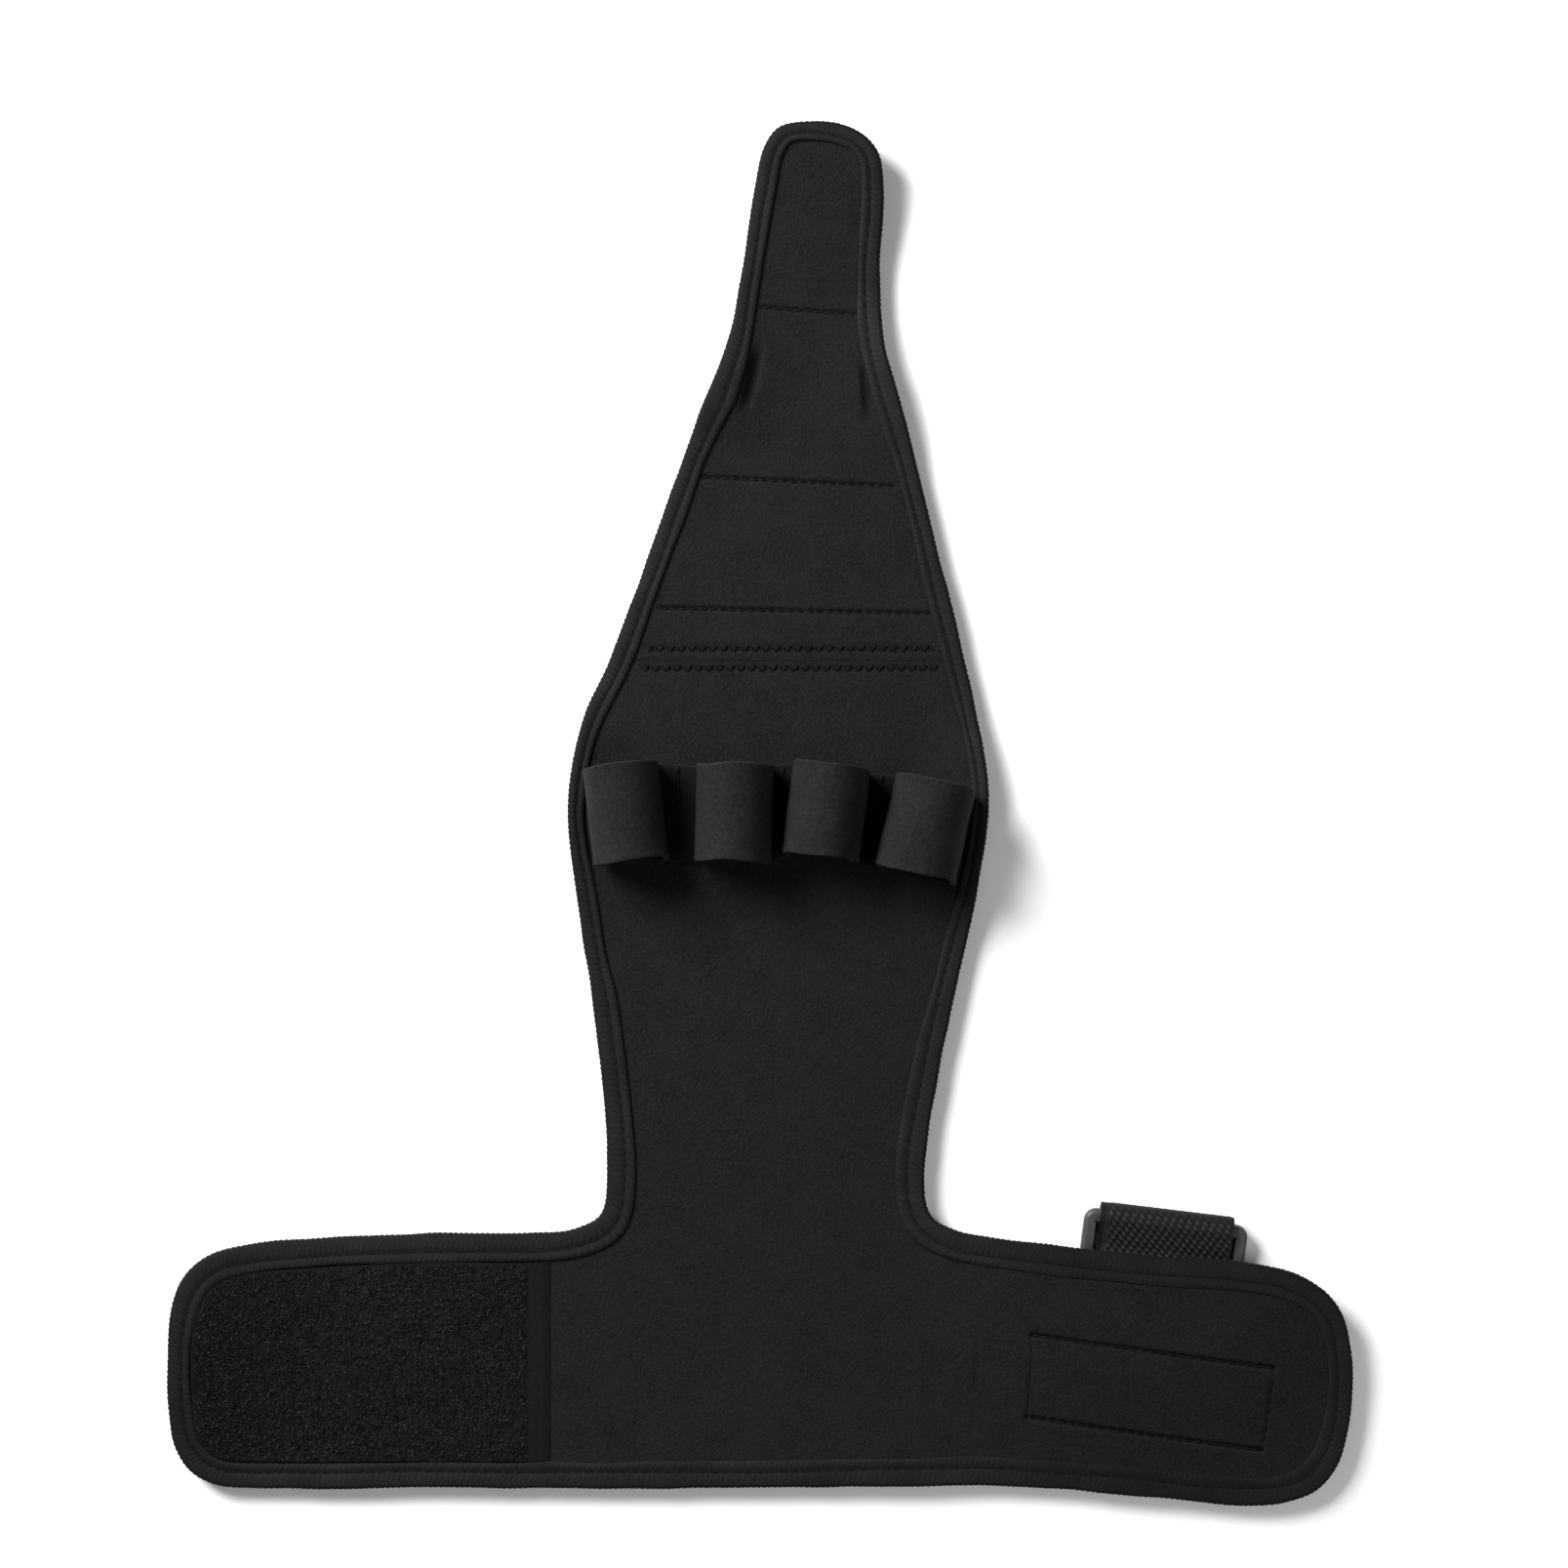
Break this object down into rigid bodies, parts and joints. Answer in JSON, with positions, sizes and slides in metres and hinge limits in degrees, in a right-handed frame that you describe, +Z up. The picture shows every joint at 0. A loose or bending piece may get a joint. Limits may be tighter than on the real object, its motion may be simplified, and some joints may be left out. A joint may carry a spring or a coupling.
{
  "type": "finger splint",
  "caption": "Soft neoprene finger splint lying open: hand panel with finger loops, fold-over tongue, wrist wings, bound edge and a webbing ring.",
  "frame": {"origin": "middle of the open splint's outline, on the surface that it lies on", "axes": "+X towards the index finger's side, +Y towards the end of the fold-over tongue, +Z up from the inner face"},
  "size_m": [0.2902, 0.3388, 0.0223],
  "materials": {
    "neoprene": "black neoprene laminate with brushed knit faces",
    "loop_strip_fabric": "smooth charcoal-black laminate strip with cut edges",
    "binding_tape": "ribbed black elastic binding tape",
    "loop_pile": "black napped loop pile",
    "hook_tape": "black hook tape",
    "webbing": "black woven polypropylene webbing",
    "ring_plastic": "dark grey moulded acetal, slightly glossy"
  },
  "bodies": {
    "splint": {"hand_panel": "neoprene", "tongue_panel": "neoprene", "edge_binding": "binding_tape", "wing_loop_patch": "loop_pile", "tongue_loop_patch": "loop_pile", "wing_hook_patch": "hook_tape", "tongue_hook_patch": "hook_tape", "finger_loop_strip": "loop_strip_fabric", "ring_webbing": "webbing"},
    "ring": {"buckle_ring": "ring_plastic"}
  },
  "joints": [
    {"name": "ring_swing", "type": "hinge", "parent": "splint", "child": "ring", "pos_m": [0.09952, -0.10051, 0.00325], "axis": [0.9928, -0.1201, 0], "range_deg": [0, 300]}
  ]
}
